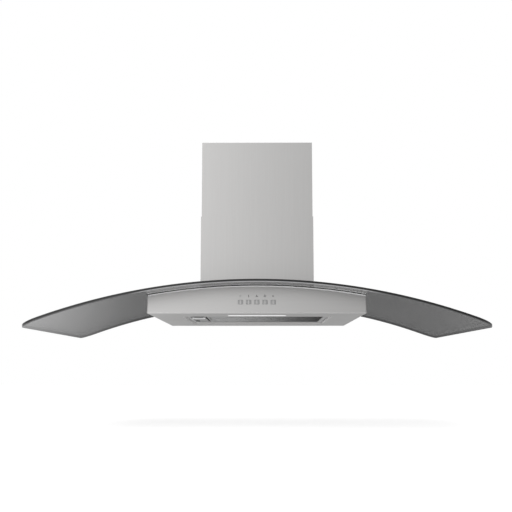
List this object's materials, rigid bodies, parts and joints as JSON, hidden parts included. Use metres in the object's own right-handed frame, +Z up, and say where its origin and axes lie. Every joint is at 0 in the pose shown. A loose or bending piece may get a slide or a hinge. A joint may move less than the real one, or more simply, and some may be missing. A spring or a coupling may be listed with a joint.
{
  "type": "island range hood",
  "caption": "Ceiling-hung island range hood: brushed steel telescoping chimney, arched smoked-glass plate, shallow steel body with push-buttons, light bar and hinged mesh filter.",
  "frame": {"origin": "centre of the ceiling plate's upper face, in the ceiling plane", "axes": "+Z up, +X along the width, buttons on the -Y side"},
  "size_m": [0.9, 0.6, 0.4052],
  "materials": {
    "stainless": "fine brushed grain",
    "galvanised": "zinc coated sheet",
    "bright_steel": "zinc plated",
    "smoked_glass": "polished, grey tinted",
    "black_rubber": "matte",
    "foam_seal": "closed-cell foam, pale with a dark lip",
    "filter_aluminium": "satin",
    "latch_plastic": "matte moulding",
    "latch_grey": "satin moulding",
    "light_diffuser": "frosted",
    "circuit_board": "lacquered board",
    "dark_plastic": "fine texture",
    "button_grey": "satin",
    "laminations": "stacked sheet",
    "motor_paint": "die cast",
    "bearing_bronze": "sintered",
    "grey_plastic": "fine texture",
    "white_plastic": "moulded"
  },
  "bodies": {
    "hood": {"ceiling_plate": "galvanised", "upper_rail_front_left": "galvanised", "upper_rail_front_right": "galvanised", "upper_rail_rear_left": "galvanised", "upper_rail_rear_right": "galvanised", "lower_rail_front_left": "galvanised", "lower_rail_front_right": "galvanised", "lower_rail_rear_left": "galvanised", "lower_rail_rear_right": "galvanised", "frame_screws": "bright_steel", "upper_chimney": "stainless", "chimney_screws": "bright_steel", "box_lid": "galvanised", "motor_box": "galvanised", "box_screws": "bright_steel", "glass_canopy": "smoked_glass", "glass_gasket": "foam_seal", "glass_clamp": "galvanised", "clamp_screws": "bright_steel", "canopy_body": "stainless", "underside_panel": "stainless", "hinge_brackets": "galvanised", "led_lens": "light_diffuser", "led_housing": "filter_aluminium", "led_board": "circuit_board", "switch_housing": "dark_plastic", "switch_board": "circuit_board", "scroll_wrap": "galvanised", "scroll_plate_left": "galvanised", "scroll_plate_right": "galvanised", "motor_stator": "laminations", "motor_case": "motor_paint", "motor_bearings": "bearing_bronze", "motor_bracket": "galvanised", "motor_mounts": "black_rubber", "outlet_adapter": "grey_plastic", "damper_pin": "bright_steel", "junction_box": "dark_plastic", "junction_lid": "dark_plastic", "motor_capacitor": "white_plastic", "led_driver": "dark_plastic", "cable_gland": "grey_plastic"},
    "fan_wheel": {"impeller_disc": "galvanised", "impeller_blades": "galvanised", "impeller_rings": "galvanised", "motor_shaft": "bright_steel", "motor_rotor": "filter_aluminium"},
    "front_damper": {"front_damper_flap": "grey_plastic"},
    "rear_damper": {"rear_damper_flap": "grey_plastic"},
    "chimney_sleeve": {"lower_chimney": "stainless"},
    "filter": {"filter_frame": "filter_aluminium", "filter_mesh": "filter_aluminium", "filter_backing": "filter_aluminium", "latch_cup": "latch_plastic"},
    "latch": {"latch_slide": "latch_grey"},
    "button_1": {"button_1": "button_grey"},
    "button_2": {"button_2": "button_grey"},
    "button_3": {"button_3": "button_grey"},
    "button_4": {"button_4": "button_grey"},
    "button_5": {"button_5": "button_grey"}
  },
  "joints": [
    {"name": "fan_spin", "type": "hinge", "parent": "hood", "child": "fan_wheel", "pos_m": [0, -0.008, -0.245], "axis": [1, 0, 0], "continuous": true},
    {"name": "front_damper_swing", "type": "hinge", "parent": "hood", "child": "front_damper", "pos_m": [0, 0, -0.097], "axis": [-1, 0, 0], "range_deg": [0, 75]},
    {"name": "rear_damper_swing", "type": "hinge", "parent": "hood", "child": "rear_damper", "pos_m": [0, 0, -0.097], "axis": [1, 0, 0], "range_deg": [0, 75]},
    {"name": "chimney_lift", "type": "slide", "parent": "hood", "child": "chimney_sleeve", "axis": [0, 0, 1], "range_m": [0, 0.14]},
    {"name": "filter_swing", "type": "hinge", "parent": "hood", "child": "filter", "pos_m": [0.149, 0.0142, -0.3668], "axis": [0, -1, 0], "range_deg": [0, 85]},
    {"name": "latch_pull", "type": "slide", "parent": "filter", "child": "latch", "axis": [1, 0, 0], "range_m": [0, 0.0045], "stiffness_N_per_m": 300, "springref_m": -0.004},
    {"name": "button_1_press", "type": "slide", "parent": "hood", "child": "button_1", "axis": [0, 1, 0], "range_m": [0, 0.0015], "stiffness_N_per_m": 400, "springref_m": -0.001},
    {"name": "button_2_press", "type": "slide", "parent": "hood", "child": "button_2", "axis": [0, 1, 0], "range_m": [0, 0.0015], "stiffness_N_per_m": 400, "springref_m": -0.001},
    {"name": "button_3_press", "type": "slide", "parent": "hood", "child": "button_3", "axis": [0, 1, 0], "range_m": [0, 0.0015], "stiffness_N_per_m": 400, "springref_m": -0.001},
    {"name": "button_4_press", "type": "slide", "parent": "hood", "child": "button_4", "axis": [0, 1, 0], "range_m": [0, 0.0015], "stiffness_N_per_m": 400, "springref_m": -0.001},
    {"name": "button_5_press", "type": "slide", "parent": "hood", "child": "button_5", "axis": [0, 1, 0], "range_m": [0, 0.0015], "stiffness_N_per_m": 400, "springref_m": -0.001}
  ]
}
